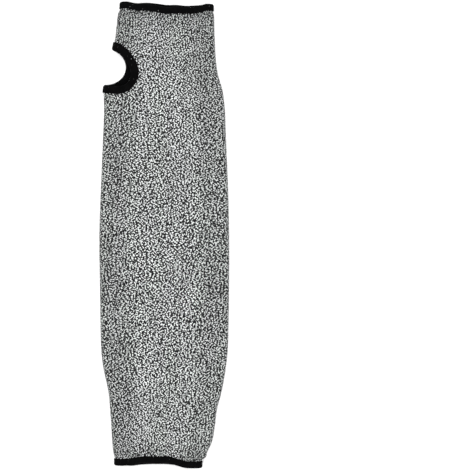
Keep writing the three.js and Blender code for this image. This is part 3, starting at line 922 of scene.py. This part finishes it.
def thread_material(name, hems):
    """Black overlock thread, with its fine twist and a few pale fibres of the knit caught in it."""
    material, nodes, shader = new_material(name)
    stitches = nodes.add("ShaderNodeUVMap", {"uv_map": "Stitches"}).outputs[0]
    fibres = place_group(nodes, "Yarn fibres", yarn_fibres_group, Stitches=stitches, Across_Count=5.0,
                         Along_Count=26.0)
    clouds = place_group(nodes, "Tone clouds", tone_clouds_group, Size=160.0, Run=1.0, Low=0.8, High=1.5)
    threads = place_group(nodes, "Stitch cells", stitch_cells_group, Stitches=stitches, Strands=1.0)
    # Painted highlight and shade: each thread is painted lighter along its crest and darker in the grooves
    # between threads
    crest_light_groove_shade = nodes.ramp(nodes.math("ABSOLUTE", threads["Across"]), 0.2, 0.95, 3.2, 0.3)
    tone = nodes.math("MULTIPLY", nodes.math("MULTIPLY", fibres["Shade"], clouds["Tone"]), crest_light_groove_shade)
    thread = nodes.add("ShaderNodeVectorMath", {"operation": "SCALE"}, in0=tuple(hems.thread), Scale=tone)
    place = nodes.add("ShaderNodeTexCoord").outputs["Object"]
    lint = nodes.add("ShaderNodeTexNoise", Vector=place, Scale=900.0, Detail=1.0)
    fleck = nodes.ramp(lint.outputs["Fac"], 0.765, 0.8, 0.0, 0.55)
    nodes.feed(shader.inputs["Base Color"], nodes.mix(fleck, thread.outputs[0], (0.55, 0.55, 0.55)))
    nodes.feed(shader.inputs["Roughness"], nodes.ramp(fibres["Height"], 0.2, 0.8, 0.9, 0.7))
    shader.inputs["Specular IOR Level"].default_value = 0.025
    bump = nodes.add("ShaderNodeBump", Strength=0.6, Distance=0.0001, Height=fibres["Height"])
    nodes.feed(shader.inputs["Normal"], bump.outputs[0])
    return material


def floor_material(name, stage):
    """A plain matt pale surface."""
    material, nodes, shader = new_material(name)
    clouds = place_group(nodes, "Tone clouds", tone_clouds_group, Size=3.0, Run=1.0, Low=0.995, High=1.005)
    color = nodes.add("ShaderNodeVectorMath", {"operation": "SCALE"}, in0=tuple(stage.floor),
                      Scale=clouds["Tone"])
    nodes.feed(shader.inputs["Base Color"], color.outputs[0])
    shader.inputs["Roughness"].default_value = 0.9
    shader.inputs["Specular IOR Level"].default_value = 0.1
    return material


# Operators

class SLEEVE_OT_knit(bpy.types.Operator):
    """Knit the sleeve's four bands over their solids"""

    bl_idname = "sleeve.knit"
    bl_label = "Knit"

    def execute(self, context):
        knit = context.scene.sleeve_knit
        materials = [knit_material("marl_knit", knit, 2.0, False),
                     knit_material("marl_purl", knit, 1.0, True)]
        outer, inner = knit_points(knit)
        kept = kept_stitches(knit)
        pitch = (LENGTH - 2 * RAW_EDGE) / knit.courses
        first = 0
        for node, until in BANDS:
            last = min(knit.courses, round((until * LENGTH - RAW_EDGE) / pitch))
            band = knit_band(node.replace("knit_", "knitted_"), knit, outer, inner, kept, first, last,
                             materials)
            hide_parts(node)
            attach(band, "root")
            first = last
        return {"FINISHED"}


class SLEEVE_OT_edge_hems(bpy.types.Operator):
    """Overlock the raw edges of both ends"""

    bl_idname = "sleeve.edge_hems"
    bl_label = "End Hems"

    def execute(self, context):
        hems = context.scene.sleeve_hems
        materials = [thread_material("overlock_thread", hems)]
        for node, is_hand in (("hand_hem", True), ("arm_hem", False)):
            hem = edge_hem(node.replace("_hem", "_overlock"), hems, is_hand, materials)
            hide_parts(node)
            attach(hem, "root")
        return {"FINISHED"}


class SLEEVE_OT_thumb_hem(bpy.types.Operator):
    """Overlock the edge of the thumb hole"""

    bl_idname = "sleeve.thumb_hem"
    bl_label = "Thumb Hem"

    def execute(self, context):
        hems = context.scene.sleeve_hems
        material = bpy.data.materials.get("overlock_thread") or thread_material("overlock_thread", hems)
        hem = thumb_hem("thumb_overlock", hems, [material])
        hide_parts("thumb_hem")
        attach(hem, "root")
        return {"FINISHED"}


# The stage: a square floor just under the sleeve, a square lamp over it, and a camera that looks straight
# down from beside the sleeve, at the middle of the photo's frame
FLOOR_SIZE = 6.0
FLOOR_GAP = 0.0001
LAMP_SIZE = 1.6
LAMP_PLACE = (-0.03, 0.06, 1.9)
SENSOR = 36.0
CAMERA_PLACE = (0.0615, -0.0001)


class SLEEVE_OT_stage(bpy.types.Operator):
    """Set the floor, the soft light and the camera"""

    bl_idname = "sleeve.stage"
    bl_label = "Stage"

    def execute(self, context):
        stage = context.scene.sleeve_stage
        half = FLOOR_SIZE / 2
        mesh = bpy.data.meshes.new("pale_floor")
        mesh.from_pydata([(-half, -half, 0), (half, -half, 0), (half, half, 0), (-half, half, 0)], [],
                         [(0, 1, 2, 3)])
        mesh.materials.append(floor_material("pale_floor", stage))
        floor = bpy.data.objects.new("pale_floor", mesh)
        floor.location.z = -FLOOR_GAP
        context.scene.collection.objects.link(floor)

        lamp_data = bpy.data.lights.new("soft_light", "AREA")
        lamp_data.shape = "SQUARE"
        lamp_data.size = LAMP_SIZE
        lamp_data.energy = stage.lamp_power
        lamp = bpy.data.objects.new("soft_light", lamp_data)
        lamp.location = LAMP_PLACE
        lamp.rotation_euler = (Vector((0, 0, 0)) - lamp.location).to_track_quat("-Z", "Y").to_euler()
        context.scene.collection.objects.link(lamp)

        context.scene.view_settings.view_transform = "Standard"
        world = bpy.data.worlds.new("even_sky")
        world.use_nodes = True
        background = world.node_tree.nodes["Background"]
        background.inputs["Color"].default_value = (1.0, 1.0, 1.0, 1.0)
        background.inputs["Strength"].default_value = stage.sky
        context.scene.world = world

        camera_data = bpy.data.cameras.new("photo_camera")
        camera_data.sensor_width = SENSOR
        folds = WALL / 2 + FOLD_RADIUS
        camera_data.lens = SENSOR * (stage.camera_height - folds) / stage.view_width
        camera = bpy.data.objects.new("photo_camera", camera_data)
        camera.location = (*CAMERA_PLACE, stage.camera_height)
        context.scene.collection.objects.link(camera)
        context.scene.camera = camera
        return {"FINISHED"}


class SLEEVE_PT_panel(bpy.types.Panel):
    """The sleeve's operators and their settings"""

    bl_idname = "SLEEVE_PT_panel"
    bl_label = "Sleeve"
    bl_space_type = "VIEW_3D"
    bl_region_type = "UI"
    bl_category = "Sleeve"

    def draw(self, context):
        for group, operators in (
            ("sleeve_knit", ("sleeve.knit",)),
            ("sleeve_hems", ("sleeve.edge_hems", "sleeve.thumb_hem")),
            ("sleeve_stage", ("sleeve.stage",)),
        ):
            settings = getattr(context.scene, group)
            box = self.layout.box()
            for key in settings.__annotations__:
                box.prop(settings, key)
            for name in operators:
                box.operator(name)


CLASSES = (
    SleeveKnit,
    SleeveHems,
    SleeveStage,
    SLEEVE_OT_knit,
    SLEEVE_OT_edge_hems,
    SLEEVE_OT_thumb_hem,
    SLEEVE_OT_stage,
    SLEEVE_PT_panel,
)


def register():
    for cls in CLASSES:
        bpy.utils.register_class(cls)
    bpy.types.Scene.sleeve_knit = bpy.props.PointerProperty(type=SleeveKnit)
    bpy.types.Scene.sleeve_hems = bpy.props.PointerProperty(type=SleeveHems)
    bpy.types.Scene.sleeve_stage = bpy.props.PointerProperty(type=SleeveStage)


def unregister():
    del bpy.types.Scene.sleeve_stage
    del bpy.types.Scene.sleeve_hems
    del bpy.types.Scene.sleeve_knit
    for cls in reversed(CLASSES):
        bpy.utils.unregister_class(cls)


def main():
    register()
    bpy.ops.sleeve.knit()
    bpy.ops.sleeve.edge_hems()
    bpy.ops.sleeve.thumb_hem()
    bpy.ops.sleeve.stage()


if __name__ == "__main__":
    main()
